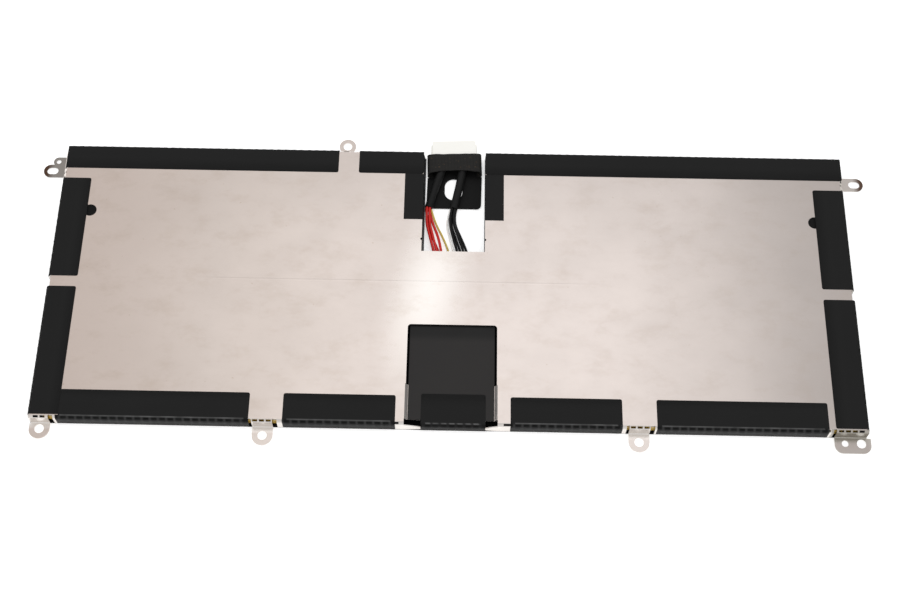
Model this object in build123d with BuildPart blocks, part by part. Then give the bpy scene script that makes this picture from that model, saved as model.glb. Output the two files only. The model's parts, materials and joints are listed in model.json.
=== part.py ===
"""Flat four-cell laptop battery pack: pouch cells under a folded steel cover, with a flying lead.

Millimetres. +Z is up, +X runs along the pack, and +Y points to the edge that the lead leaves by.
The origin is at the middle of the cover's outline, on the surface that the pack lies on.
"""

from build123d import *
from collections import namedtuple
from math import radians, tan
import os

os.makedirs("parts", exist_ok=True)

# Steel cover, one folded sheet
cover_length = 290.0
cover_depth = 109.7
sheet = 0.4
fold_leg = 1.0
fold_lap = 1.0
corner_relief = 1.4
back_relief_left = 0.5
back_relief_right = 0.05
front_relief_left = 0.3
front_relief_right = 0.05

# Layers under the cover, from the surface that the pack lies on
base_film = 0.2
cell_height = 4.7
cell_glue = 0.2

# Notch for the lead, open at the back edge
notch_centre = 0.65
notch_width = 23.1
notch_depth = 42.35
bite_radius = 0.5
bite_setback = 5.0

# Window at the front, with a sunk bridge along its open side
window_centre = 1.0
window_width = 31.7
window_depth = 37.95
window_corner = 1.2
bridge_depth = 15.1
bridge_margin = 0.35
bridge_drop = 1.2
bridge_slope = 1.0
bridge_setback = 2.05
apron_centre = 1.8
apron_width = 22.4
gusset_shoulder = 1.5
gusset_tip_low = 1.0
gusset_tip_high = 2.2

# Round sight holes beside the end films
sight_hole_radius = 2.4
sight_hole_inset = 11.8
sight_hole_setback = 27.85

# Fixing ears at the foot of the walls
ear_fold = 0.4
ear_relief = 1.0
ear_relief_wide = 1.6
ear_radius = 3.6
ear_hole_radius = 1.65
corner_ear_reach = 2.3
mid_ear_reach = 3.25
left_corner_ear_inset = 3.5
mid_left_ear_x = -64.15
mid_right_ear_x = 66.2
back_ear_x = -40.1
back_ear_radius = 3.1
back_ear_neck = 2.2
back_ear_reach = 4.45
back_ear_relief = 0.4

# Wide ear at the front right corner, with a locating hole beside its screw hole
wide_ear_width = 12.6
wide_ear_overhang = 1.4
wide_ear_length = 5.85
wide_ear_corner = 2.9
wide_ear_hole_inset = 1.95
wide_ear_pin_inset = 7.6
wide_ear_pin_radius = 1.2

# Slotted ears at both ends, the left one with a locating hole
end_ear_setback = 8.5
end_ear_reach = 5.7
end_ear_radius = 2.7
end_slot_length = 4.2
end_slot_radius = 1.45
end_pin_radius = 0.9
end_pin_lobe = 1.9
end_pin_reach = 3.9
end_pin_offset = 4.0

# Break in the end walls, a little in front of the middle
end_gap_centre = -2.25
end_gap = 4.2

# Perforation along every fold, wider apart under the films than at the bare folds of the ears
slot_pitch = 6.3
slot_length = 2.5
ear_slot_pitch = 2.35
ear_slot_length = 1.75
slot_width = 0.85
slot_margin = 0.35

# Black edge films, stuck over the folds
film = 0.1
film_corner = 0.7
film_foot = 0.3
back_film_inset = 9.85
front_film_inset = 10.6
left_film_inset = 10.7
right_film_inset = 11.5
film_butt = 0.05
film_overlap = 0.15
corner_film_bare = 0.9
leg_width = 6.85
leg_length = 19.3
notch_lean_left = 0.7
notch_lean_right = 0.1
notch_film_foot = 0.05

# Window film and the patch over its front edge
window_film = 0.15
window_film_gap = 0.85
window_film_tuck = 3.0
patch = 0.1
patch_reach = 11.75

# Pouch cells, two rows on each side of the middle bay
bay_centre = 1.0
bay_width = 33.0
cell_wall_gap = 0.8
cell_row_gap = 1.4
cell_edge = 0.6
terrace_length = 4.5
terrace_thickness = 0.5
terrace_inset = 3.0
glue_margin = 6.0
tab = 0.15
tab_width = 4.0
tab_first = 3.6
tab_pitch = 4.8
tab_flat = 1.3
tab_landing = 2.8
tab_slope = 2.0
edge_tape = 0.1
edge_tape_low = 0.8
edge_tape_height = 3.2
edge_tape_inset = 2.0

# Circuit board in the middle bay, and what is soldered to it
board_thickness = 0.8
board_width = 27.0
board_back = 10.5
board_front_gap = 3.5
board_corner = 1.0
pad_thickness = 0.05
pad_length = 3.0
pad_width = 0.8
pad_reach = 0.8
chip_chamfer = 0.2
gauge_chip_size = (7.8, 6.4, 1.1)
gauge_chip_setback = 20.0
switch_size = (5.2, 6.2, 1.0)
switch_spacing = 8.6
switch_setback = 31.0
fuse_size = (5.4, 3.2, 1.2)
sense_resistor_size = (6.4, 3.2, 0.7)
fuse_setback = 40.0
fuse_offset = 4.4
capacitor_size = (1.6, 0.8, 0.8)
capacitor_pitch = 3.2
capacitor_rows = 2
capacitor_columns = 5
capacitor_inset = 11.45

# Lead: wires, sleeves, plug, pull tab and the cloth tape that ties them
power_wire = 1.0
signal_wire = 0.8
wire_sides = 6
sleeve_diameter = 3.0
plug_ways = 10
plug_pitch = 1.5
plug_width = 16.3
plug_length = 9.6
plug_height = 3.0
plug_low = 0.6
plug_x = 0.55
plug_rear = 51.2
plug_turn = 2.2
plug_corner = 0.6
plug_rib = 0.5
plug_rib_length = 4.6
plug_rib_height = 1.2
cavity_width = 1.0
cavity_height = 1.6
cavity_depth = 6.0
contact_width = 0.7
contact_height = 1.1
contact_setback = 1.2
tie_tape = 0.2
tie_low = 0.05
tie_width = 20.4
tie_height = 3.9
tie_corner = 1.7
tie_length = 8.3
tie_overlap = 3.7
pull_tab = 0.25
pull_tab_low = 0.3
pull_tab_x = 0.5
pull_tab_width = 20.4
pull_tab_front = 33.05
pull_tab_gap = 0.05
pull_tab_corner = 1.8
pull_tab_tail_width = 16.6
pull_tab_tail_length = 4.6
finger_hole_x = 0.38
finger_hole_width = 6.6
finger_hole_length = 9.0
finger_hole_setback = 8.2

# Heights and edges that follow from the sizes above
plate_low = base_film + cell_height + cell_glue
plate_top = plate_low + sheet
ear_low = base_film
half_length = cover_length / 2
half_depth = cover_depth / 2
notch_left = notch_centre - notch_width / 2
notch_right = notch_centre + notch_width / 2
notch_floor = half_depth - notch_depth
window_left = window_centre - window_width / 2
window_right = window_centre + window_width / 2
apron_left = apron_centre - apron_width / 2
apron_right = apron_centre + apron_width / 2
bridge_left = window_left - bridge_margin
bridge_right = window_right + bridge_margin
bridge_top = plate_top - bridge_drop
left_corner_ear_x = left_corner_ear_inset - half_length
wide_ear_x = half_length + wide_ear_overhang - wide_ear_width / 2
end_ear_y = half_depth - end_ear_setback
end_gap_back = end_gap_centre + end_gap / 2
end_gap_front = end_gap_centre - end_gap / 2
board_top = base_film + board_thickness

# The four sides: the way out of the pack, the way along the wall, and the wall's distance from the origin
PackSide = namedtuple("PackSide", "outward along reach")
back = PackSide(Vector(0, 1, 0), Vector(1, 0, 0), half_depth)
front = PackSide(Vector(0, -1, 0), Vector(-1, 0, 0), half_depth)
left = PackSide(Vector(-1, 0, 0), Vector(0, 1, 0), half_length)
right = PackSide(Vector(1, 0, 0), Vector(0, -1, 0), half_length)

# Each wall: its side, its first and last place along that side, and the height of the sheet it folds from
Wall = namedtuple("Wall", "side first last top")
walls = {
    "back_left": Wall(
        back,
        back_relief_left - half_length,
        back_ear_x - back_ear_neck - back_ear_relief,
        plate_top,
    ),
    "back_mid": Wall(back, back_ear_x + back_ear_neck + ear_relief_wide, notch_left, plate_top),
    "back_right": Wall(back, notch_right, half_length - back_relief_right, plate_top),
    "front_left": Wall(
        front,
        left_corner_ear_x + ear_radius + ear_relief_wide,
        mid_left_ear_x - ear_radius - ear_relief,
        plate_top,
    ),
    "front_mid_left": Wall(front, mid_left_ear_x + ear_radius + ear_relief_wide, bridge_left, plate_top),
    "apron": Wall(front, apron_left, apron_right, bridge_top),
    "front_mid_right": Wall(front, bridge_right, mid_right_ear_x - ear_radius - ear_relief, plate_top),
    "front_right": Wall(
        front,
        mid_right_ear_x + ear_radius + ear_relief_wide,
        wide_ear_x - wide_ear_width / 2 - ear_relief,
        plate_top,
    ),
    "left_rear": Wall(left, end_gap_back, end_ear_y - end_ear_radius - ear_relief, plate_top),
    "left_front": Wall(left, corner_relief - half_depth, end_gap_front, plate_top),
    "right_rear": Wall(right, end_gap_back, end_ear_y - end_ear_radius - ear_relief, plate_top),
    "right_front": Wall(right, corner_relief - half_depth, end_gap_front, plate_top),
}
ear_walls = [
    Wall(front, fold_leg - half_length, left_corner_ear_x + ear_radius, plate_top),
    Wall(front, mid_left_ear_x - ear_radius, mid_left_ear_x + ear_radius, plate_top),
    Wall(front, mid_right_ear_x - ear_radius, mid_right_ear_x + ear_radius, plate_top),
    Wall(front, wide_ear_x - wide_ear_width / 2, half_length - fold_leg, plate_top),
    Wall(back, back_ear_x - back_ear_neck, back_ear_x + back_ear_neck, plate_top),
    Wall(left, end_ear_y - end_ear_radius, end_ear_y + end_pin_offset + end_pin_lobe, plate_top),
    Wall(right, end_ear_y - end_ear_radius, end_ear_y + end_ear_radius, plate_top),
]

# Where the corner ears' folds run on past the plate, to the corners of the cover
corner_walls = [
    Wall(front, front_relief_left - half_length, fold_leg - half_length, plate_top),
    Wall(front, half_length - fold_leg, half_length - front_relief_right, plate_top),
]


def along_axis(side):
    """The world axis, X or Y, that places along a side are measured on."""
    return Vector(abs(side.along.X), abs(side.along.Y), 0)


def section_plane(side, first, last, top):
    """Plane across a wall at its outer face: X out of the pack, Y up, extruding from one end to the other."""
    start = first if side.along.X + side.along.Y > 0 else last
    origin = side.outward * side.reach + along_axis(side) * start + Vector(0, 0, top)
    return Plane(origin=origin, x_dir=side.outward, z_dir=side.along)


def ear_plane(side, place):
    """Plane of an ear's underside: X out of the pack from the wall's outer face, Z up."""
    origin = side.outward * side.reach + along_axis(side) * place + Vector(0, 0, ear_low)
    return Plane(origin=origin, x_dir=side.outward, z_dir=(0, 0, 1))


def fold_corner(lift):
    """How far inside the wall's outer face the fold's flat starts, on a layer lift above the sheet."""
    return fold_leg - lift * (2**0.5 - 1)


def folded_section(wall, first, last, inset, foot, thickness, lift):
    """Section of a strip along the plate, over the fold's flat and down a wall, lift above the outer face."""
    with BuildSketch(section_plane(wall.side, first, last, wall.top)) as section:
        with BuildLine():
            Polyline(
                (-inset, lift),
                (-fold_corner(lift), lift),
                (lift, -fold_corner(lift)),
                (lift, foot - wall.top),
            )
        trace(line_width=thickness)
    return section.sketch


def ear_section(wall, lap):
    """Section of the sheet from the plate, which it laps, over the fold, down the wall and out into an ear."""
    cove_height = ear_low + sheet + ear_fold - plate_top
    middle = -sheet / 2
    with BuildSketch(section_plane(wall.side, wall.first, wall.last, wall.top)) as section:
        with BuildLine():
            cove = CenterArc((ear_fold, cove_height), ear_fold + sheet / 2, 180, 90)
            if lap:
                Line((-fold_leg - lap, middle), (-fold_corner(middle), middle))
            Polyline(
                (-fold_corner(middle), middle),
                (middle, -fold_corner(middle)),
                cove @ 0,
            )
        trace(line_width=sheet)
    return section.sketch


def round_ear(side, place, reach, radius, neck):
    """Outline of an ear with a full round end about its screw hole."""
    with BuildSketch(ear_plane(side, place)) as outline:
        with Locations(((ear_fold + reach) / 2, 0)):
            Rectangle(reach - ear_fold, 2 * neck)
        with Locations((reach, 0)):
            Circle(radius)
            Circle(ear_hole_radius, mode=Mode.SUBTRACT)
    return outline.sketch


def slotted_ear(side, pin):
    """Outline of an end ear with its slot, and with a locating hole on its lobe where pin is true."""
    with BuildSketch(ear_plane(side, end_ear_y)) as outline:
        with Locations(((ear_fold + end_ear_reach) / 2, 0)):
            Rectangle(end_ear_reach - ear_fold, 2 * end_ear_radius)
        with Locations((end_ear_reach, 0)):
            SlotOverall(end_slot_length + 2 * (end_ear_radius - end_slot_radius), 2 * end_ear_radius)
        if pin:
            with Locations(((ear_fold + end_pin_reach) / 2, -end_pin_offset)):
                Rectangle(end_pin_reach - ear_fold, 2 * end_pin_lobe)
            with Locations((end_pin_reach, -end_pin_offset)):
                Circle(end_pin_lobe)
                Circle(end_pin_radius, mode=Mode.SUBTRACT)
        with Locations((end_ear_reach, 0)):
            SlotOverall(end_slot_length, 2 * end_slot_radius, mode=Mode.SUBTRACT)
    return outline.sketch


def wide_ear():
    """Outline of the wide corner ear, from its middle, with a screw hole and a locating hole."""
    side_line = wide_ear_width / 2 - wide_ear_overhang
    with BuildSketch(ear_plane(front, wide_ear_x)) as outline:
        with Locations(((ear_fold + wide_ear_length) / 2, 0)):
            Rectangle(wide_ear_length - ear_fold, wide_ear_width)
        fillet(outline.vertices().group_by(Axis.X)[-1], wide_ear_corner)
        with Locations((corner_ear_reach, side_line - wide_ear_hole_inset)):
            Circle(ear_hole_radius, mode=Mode.SUBTRACT)
        with Locations((corner_ear_reach, side_line - wide_ear_pin_inset)):
            Circle(wide_ear_pin_radius, mode=Mode.SUBTRACT)
    return outline.sketch


def slot_planes(wall, pitch, length):
    """Planes at which a wall's fold is perforated, evenly about its middle."""
    room = wall.last - wall.first - length - 2 * slot_margin
    count = int(room / pitch) + 1
    start = (wall.first + wall.last - (count - 1) * pitch - length) / 2
    places = [start + i * pitch for i in range(count)]
    return [section_plane(wall.side, place, place + length, wall.top) for place in places]


def gusset(bridge_edge, apron_edge):
    """Sloping tie in the front wall, from the full wall beside the window to the low wall of the apron."""
    inward = 1 if apron_edge > bridge_edge else -1
    with BuildSketch(Plane(origin=(0, -half_depth, 0), x_dir=(1, 0, 0), z_dir=(0, -1, 0))) as outline:
        with BuildLine():
            Polyline(
                (bridge_edge - inward * fold_lap, base_film),
                (bridge_edge - inward * fold_lap, plate_top - gusset_shoulder),
                (bridge_edge, plate_top - gusset_shoulder),
                (apron_edge + inward * fold_lap, gusset_tip_high),
                (apron_edge + inward * fold_lap, gusset_tip_low),
                (bridge_edge, base_film),
                close=True,
            )
        make_face()
    return outline.sketch


def save(builder, name):
    """Labels a finished piece and writes it."""
    builder.part.label = name
    export_step(builder.part, f"parts/{name}.step")


# Steel cover
with BuildPart() as steel_cover:
    with BuildSketch(Plane.XY.offset(plate_low)):
        Rectangle(cover_length - 2 * fold_leg, cover_depth - 2 * fold_leg)
        with Locations((notch_centre, half_depth - notch_depth / 2)):
            Rectangle(notch_width, notch_depth, mode=Mode.SUBTRACT)
        with Locations((window_centre, window_depth / 2 - half_depth)):
            RectangleRounded(window_width, window_depth, window_corner, mode=Mode.SUBTRACT)
        with Locations((window_centre, bridge_depth / 2 - half_depth)):
            Rectangle(bridge_right - bridge_left, bridge_depth, mode=Mode.SUBTRACT)
        with Locations((notch_left, notch_floor + bite_setback), (notch_right, notch_floor + bite_setback)):
            Circle(bite_radius, mode=Mode.SUBTRACT)
        with Locations((0, half_depth - sight_hole_setback)):
            with GridLocations(cover_length - 2 * sight_hole_inset, 0, 2, 1):
                Circle(sight_hole_radius, mode=Mode.SUBTRACT)
    extrude(amount=sheet)
    with BuildSketch(Plane.XZ.offset(half_depth - bridge_depth)):
        with BuildLine():
            level = plate_top - sheet / 2
            Polyline(
                (bridge_left - fold_lap, level),
                (bridge_left, level),
                (bridge_left + bridge_slope, level - bridge_drop),
                (bridge_right - bridge_slope, level - bridge_drop),
                (bridge_right, level),
                (bridge_right + fold_lap, level),
            )
        trace(line_width=sheet)
    extrude(amount=bridge_depth - bridge_setback)
    for wall in walls.values():
        lap = bridge_setback + fold_lap
        section = folded_section(wall, wall.first, wall.last, lap, base_film, sheet, -sheet / 2)
        extrude(section, amount=wall.last - wall.first)
    extrude(gusset(bridge_left, apron_left), amount=-sheet)
    extrude(gusset(bridge_right, apron_right), amount=-sheet)
    for wall in ear_walls:
        extrude(ear_section(wall, fold_lap), amount=wall.last - wall.first)
    for wall in corner_walls:
        extrude(ear_section(wall, 0), amount=wall.last - wall.first)
    for ear in (
        round_ear(front, left_corner_ear_x, corner_ear_reach, ear_radius, ear_radius),
        round_ear(front, mid_left_ear_x, mid_ear_reach, ear_radius, ear_radius),
        round_ear(front, mid_right_ear_x, mid_ear_reach, ear_radius, ear_radius),
        wide_ear(),
        round_ear(back, back_ear_x, back_ear_reach, back_ear_radius, back_ear_neck),
        slotted_ear(left, pin=True),
        slotted_ear(right, pin=False),
    ):
        extrude(ear, amount=sheet)
    fold_middle = -(fold_leg + sheet * 2**-0.5) / 2
    for folds, pitch, length in (
        (walls.values(), slot_pitch, slot_length),
        (ear_walls, ear_slot_pitch, ear_slot_length),
    ):
        perforations = [plane for wall in folds for plane in slot_planes(wall, pitch, length)]
        with BuildSketch(*perforations):
            with Locations((fold_middle, fold_middle)):
                Rectangle(3 * sheet, slot_width, rotation=45)
        extrude(amount=length, mode=Mode.SUBTRACT)
save(steel_cover, "steel_cover")

# Black film under the whole pack
with BuildPart() as base:
    with BuildSketch():
        Rectangle(cover_length, cover_depth)
        opening_left = notch_left + notch_lean_left + film
        opening_right = notch_right - notch_lean_right - film
        with Locations(((opening_left + opening_right) / 2, half_depth - notch_depth / 2)):
            Rectangle(opening_right - opening_left, notch_depth, mode=Mode.SUBTRACT)
    extrude(amount=base_film)
save(base, "base_film")


def free_corners(part):
    """The upright edges of a film that lie on the plate, away from the folds."""
    reach_x = half_length - fold_leg - film
    reach_y = half_depth - fold_leg - film
    uprights = part.edges().filter_by(Axis.Z)
    return [edge for edge in uprights if abs(edge.center().X) < reach_x and abs(edge.center().Y) < reach_y]


# Edge films that cover one wall: the wall, how far they reach over the plate, and the bare wall at each end,
# less than nothing where a film runs past the wall
straight_films = {
    "film_back_left": ("back_left", back_film_inset, 0.0, 0.0),
    "film_back_mid": ("back_mid", back_film_inset, 1.2, 0.0),
    "film_back_right": ("back_right", back_film_inset, 0.0, 0.0),
    "film_left_rear": ("left_rear", left_film_inset, 0.0, 2.0),
    "film_front_mid_left": ("front_mid_left", front_film_inset, 1.85, 3.0),
    "film_front_mid_right": ("front_mid_right", front_film_inset, 4.4, 1.4),
    "film_front_right": ("front_right", front_film_inset, 0.7, 1.6),
    "film_right_rear": ("right_rear", right_film_inset, 0.0, 1.85),
    "film_right_front": ("right_front", right_film_inset, -film_overlap, 0.0),
}
for name, (wall_name, inset, bare_first, bare_last) in straight_films.items():
    wall = walls[wall_name]
    with BuildPart() as edge_film:
        first = wall.first + bare_first
        last = wall.last - bare_last
        strip = folded_section(wall, first, last, inset, base_film + film_foot, film, film / 2)
        extrude(strip, amount=last - first)
        fillet(free_corners(edge_film.part), film_corner)
    save(edge_film, name)

# One film round the front left corner, in an L
with BuildPart() as corner_film:
    for wall, inset, overlap in (
        (walls["left_front"], left_film_inset, film_overlap),
        (walls["front_left"], front_film_inset, -corner_film_bare),
    ):
        first = wall.first - overlap
        strip = folded_section(wall, first, wall.last, inset, base_film + film_foot, film, film / 2)
        extrude(strip, amount=wall.last - first)
    clear_of_front = 2 * fold_leg - half_depth
    ends = [edge for edge in free_corners(corner_film.part) if edge.center().Y > clear_of_front]
    fillet(ends, film_corner)
save(corner_film, "film_left_front")

# Films down the two sides of the notch, each with a leg on the plate behind the back film
for name, edge, inward, lean in (
    ("film_notch_left", notch_left, 1, notch_lean_left),
    ("film_notch_right", notch_right, -1, notch_lean_right),
):
    leg_back = half_depth - back_film_inset - film_butt
    with BuildPart() as notch_film:
        with BuildSketch(Plane.XZ.offset(corner_relief - half_depth)):
            with BuildLine():
                Polyline(
                    (edge + inward * film / 2, plate_low),
                    (edge + inward * (lean + film / 2), base_film + notch_film_foot),
                )
            trace(line_width=film)
        extrude(amount=notch_depth - corner_relief)
        with BuildSketch(Plane.XZ.offset(-leg_back)):
            with BuildLine():
                Polyline(
                    (edge - inward * leg_width, plate_top + film / 2),
                    (edge + inward * film / 2, plate_top + film / 2),
                    (edge + inward * film / 2, plate_low),
                    (edge + inward * (lean + film / 2), base_film + notch_film_foot),
                )
            trace(line_width=film)
        extrude(amount=leg_length)
    save(notch_film, name)

# Film in the window, on the sunk bridge and tucked under the plate behind it
with BuildPart() as window_sheet:
    with BuildSketch(Plane.XY.offset(bridge_top)):
        film_length = window_depth + window_film_tuck - bridge_setback
        with Locations((window_centre, film_length / 2 + bridge_setback - half_depth)):
            Rectangle(window_width - 2 * window_film_gap, film_length)
    extrude(amount=window_film)
save(window_sheet, "window_film")

# Patch of tape over the front edge of the window film
with BuildPart() as window_patch:
    apron = walls["apron"]
    lift = window_film + patch / 2
    strip = folded_section(apron, apron.first, apron.last, patch_reach, base_film + film_foot, patch, lift)
    extrude(strip, amount=apron.last - apron.first)
    fillet(free_corners(window_patch.part), film_corner)
save(window_patch, "window_patch")

# Pouch cells, with the sealed terrace that their tabs leave by
cell_length = half_length - sheet - cell_wall_gap - bay_centre - bay_width / 2
cell_depth = half_depth - sheet - cell_wall_gap - cell_row_gap / 2
cell_body = cell_length - terrace_length
terrace_low = base_film + cell_height / 2
cell_front = half_depth - sheet - cell_wall_gap
for name, outward, row in (
    ("rear_left", -1, 1),
    ("rear_right", 1, 1),
    ("front_left", -1, -1),
    ("front_right", 1, -1),
):
    bay_edge = bay_centre + outward * bay_width / 2
    body_x = bay_edge + outward * (terrace_length + cell_body / 2)
    body_y = row * (cell_row_gap + cell_depth) / 2
    with BuildPart() as cell:
        with BuildSketch(Plane.XY.offset(base_film)):
            with Locations((body_x, body_y)):
                Rectangle(cell_body, cell_depth)
        extrude(amount=cell_height)
        rims = cell.edges().group_by(Axis.Z)
        chamfer(rims[0] + rims[-1], cell_edge)
        with BuildSketch(Plane.XY.offset(terrace_low)):
            with Locations((bay_edge + outward * (terrace_length + cell_edge) / 2, body_y)):
                Rectangle(terrace_length + cell_edge, cell_depth - 2 * terrace_inset)
        extrude(amount=terrace_thickness)
    save(cell, f"cell_{name}")

    # Two tabs, bent down from the terrace to the board
    landing_top = board_top + tab / 2
    with BuildPart() as tabs:
        with BuildSketch(
            *[
                Plane.XZ.offset(-row * (tab_first + i * tab_pitch) - tab_width / 2)
                for i in range(2)
            ]
        ):
            with BuildLine():
                step = bay_edge - outward * tab_flat
                Polyline(
                    (bay_edge, terrace_low + tab / 2),
                    (step, terrace_low + tab / 2),
                    (step - outward * tab_slope, landing_top),
                    (step - outward * (tab_slope + tab_landing), landing_top),
                )
            trace(line_width=tab)
        extrude(amount=tab_width)
    save(tabs, f"cell_tabs_{name}")

    # Sheet of adhesive between the cell and the cover
    with BuildPart() as glue:
        with BuildSketch(Plane.XY.offset(base_film + cell_height)):
            with Locations((body_x, body_y)):
                Rectangle(cell_body - 2 * glue_margin, cell_depth - 2 * glue_margin)
        extrude(amount=cell_glue)
    save(glue, f"cell_glue_{name}")

    # Polyimide tape down the outer edge of the front cells
    if row < 0:
        with BuildPart() as tape:
            with BuildSketch(Plane.XY.offset(base_film + edge_tape_low)):
                with Locations((body_x, -cell_front - edge_tape / 2)):
                    Rectangle(cell_body - 2 * edge_tape_inset, edge_tape)
            extrude(amount=edge_tape_height)
        save(tape, f"edge_tape_{name}")

# Circuit board, lying on the base film between the cells
board_front = sheet + board_front_gap - half_depth
with BuildPart() as circuit_board:
    with BuildSketch(Plane.XY.offset(base_film)):
        with Locations((bay_centre, (board_front + board_back) / 2)):
            RectangleRounded(board_width, board_back - board_front, board_corner)
    extrude(amount=board_thickness)
save(circuit_board, "circuit_board")


def chips(size, places):
    """Plain moulded parts of one size on the board, with their top edges broken."""
    length, width, height = size
    with BuildPart() as group:
        with BuildSketch(Plane.XY.offset(board_top)):
            with Locations(*places):
                Rectangle(length, width)
        extrude(amount=height)
        chamfer(group.edges().group_by(Axis.Z)[-1], chip_chamfer)
    return group


switch_y = board_back - switch_setback
fuse_y = board_back - fuse_setback
capacitor_y = board_front + capacitor_inset
capacitor_places = [
    (
        bay_centre + (column - (capacitor_columns - 1) / 2) * capacitor_pitch,
        capacitor_y + (row - (capacitor_rows - 1) / 2) * capacitor_pitch,
    )
    for column in range(capacitor_columns)
    for row in range(capacitor_rows)
]
save(chips(gauge_chip_size, [(bay_centre, board_back - gauge_chip_setback)]), "gauge_chip")
switch_places = [(bay_centre + side * switch_spacing / 2, switch_y) for side in (-1, 1)]
save(chips(switch_size, switch_places), "power_switches")
save(chips(fuse_size, [(bay_centre - fuse_offset, fuse_y)]), "fuse")
save(chips(sense_resistor_size, [(bay_centre + fuse_offset, fuse_y)]), "sense_resistor")
save(chips(capacitor_size, capacitor_places), "capacitors")

# Lead, wire by wire: points from the board to the end of its sleeve
wire_routes = {
    "wire_red_1": (
        (-5.95, 1.6, 1.55),
        (-5.7, 7.0, 1.65),
        (-6.05, 12.7, 2.05),
        (-7.9, 19.9, 2.1),
        (-9.75, 27.3, 2.25),
        (-9.28, 32.47, 2.58),
    ),
    "wire_red_2": (
        (-4.75, 1.6, 1.55),
        (-4.5, 6.9, 1.7),
        (-4.95, 12.6, 2.25),
        (-6.75, 19.7, 2.2),
        (-8.6, 27.1, 2.3),
        (-8.27, 32.23, 2.58),
    ),
    "wire_red_3": (
        (-3.5, 1.6, 1.55),
        (-3.35, 6.4, 1.6),
        (-3.7, 11.9, 1.6),
        (-6.85, 19.9, 0.9),
        (-9.3, 27.3, 1.05),
        (-9.65, 32.56, 1.62),
    ),
    "wire_red_4": (
        (-2.25, 1.6, 1.55),
        (-2.45, 7.0, 2.3),
        (-3.5, 12.6, 2.75),
        (-4.75, 19.9, 2.0),
        (-7.55, 27.3, 1.3),
        (-8.69, 32.14, 1.62),
    ),
    "wire_yellow": (
        (-1.0, 1.6, 1.45),
        (-0.85, 7.0, 1.55),
        (-0.5, 12.9, 1.5),
        (-2.85, 19.9, 0.95),
        (-6.5, 27.3, 0.85),
        (-7.77, 31.93, 1.62),
    ),
    "wire_white": (
        (0.55, 1.6, 1.45),
        (0.95, 7.0, 1.55),
        (1.4, 12.7, 1.5),
        (-0.6, 19.9, 0.95),
        (-2.25, 27.0, 1.1),
        (-0.59, 32.07, 1.62),
    ),
    "wire_black_1": (
        (1.95, 1.6, 1.55),
        (2.25, 7.0, 1.65),
        (2.65, 12.7, 1.85),
        (0.55, 19.9, 1.8),
        (-1.1, 27.0, 2.25),
        (-0.04, 31.96, 2.58),
    ),
    "wire_black_2": (
        (3.15, 1.6, 1.55),
        (3.45, 7.0, 1.65),
        (3.85, 12.7, 1.85),
        (1.6, 19.9, 1.2),
        (-0.8, 27.1, 1.1),
        (0.33, 31.88, 1.62),
    ),
    "wire_black_3": (
        (4.35, 1.6, 1.55),
        (4.65, 7.0, 1.65),
        (5.05, 12.7, 1.85),
        (2.6, 19.8, 2.1),
        (0.15, 27.0, 2.5),
        (0.98, 31.75, 2.58),
    ),
    "wire_black_4": (
        (5.55, 1.6, 1.55),
        (5.85, 7.0, 1.65),
        (6.25, 12.7, 1.85),
        (3.65, 19.8, 1.4),
        (0.45, 27.2, 1.3),
        (1.35, 31.67, 1.62),
    ),
}
sleeve_routes = {
    "sleeve_left": (
        (-8.74, 32.5, 2.1),
        (-6.35, 41.8, 2.14),
        (-3.55, 50.35, 2.15),
    ),
    "sleeve_right": (
        (0.5, 32.0, 2.1),
        (2.65, 41.6, 2.14),
        (3.9, 50.8, 2.15),
    ),
}


def corner_radii(points):
    """The largest radius at each inner point of a route that leaves some straight in both runs."""
    radii = []
    for before, corner, after in zip(points, points[1:], points[2:]):
        run_in = Vector(corner) - Vector(before)
        run_out = Vector(after) - Vector(corner)
        half_turn = radians(run_in.get_angle(run_out)) / 2
        radii.append(0.45 * min(run_in.length, run_out.length) / tan(half_turn))
    return radii


def cord(name, points, section):
    """A strand of a given section along a route of straight runs and tangent arcs."""
    radii = corner_radii(points)
    with BuildPart() as strand:
        with BuildLine() as route:
            FilletPolyline(*points, radius=radii)
        with BuildSketch(Plane(origin=route.line @ 0, z_dir=route.line % 0)) as profile:
            add(section)
        sweep()
    length = route.wires()[0].length
    share = strand.part.volume / (length * profile.sketch.area)
    print(f"{name} length {length:.2f} volume share {share:.4f} least radius {min(radii):.1f}")
    save(strand, name)


# The wires repeat, so each is drawn with a plain section of a few flats
with BuildSketch() as power_section:
    RegularPolygon(power_wire / 2, wire_sides)
with BuildSketch() as signal_section:
    RegularPolygon(signal_wire / 2, wire_sides)
with BuildSketch() as sleeve_section:
    Circle(sleeve_diameter / 2)
for name, points in wire_routes.items():
    thin = name in ("wire_yellow", "wire_white")
    cord(name, points, signal_section.sketch if thin else power_section.sketch)
for name, points in sleeve_routes.items():
    cord(name, points, sleeve_section.sketch)

# Tinned pads on the board, under the end of each wire
with BuildPart() as solder_pads:
    with BuildSketch(Plane.XY.offset(board_top)):
        with Locations(*[(points[0][0], points[0][1] + pad_reach) for points in wire_routes.values()]):
            Rectangle(pad_width, pad_length)
    extrude(amount=pad_thickness)
save(solder_pads, "solder_pads")

# Plug, with its rear end at the sleeves and its contacts open to the back
plug_seat = Plane((plug_x, plug_rear, plug_low)).rotated((0, 0, plug_turn))
plug_mouth = Plane(
    origin=plug_seat.from_local_coords((0, plug_length, plug_height / 2)),
    x_dir=plug_seat.x_dir,
    z_dir=-plug_seat.y_dir,
)


def on_seat(across, along):
    """Place in plan of a point given from the middle of the plug's rear end."""
    point = plug_seat.from_local_coords((across, along, 0))
    return point.X, point.Y


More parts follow.
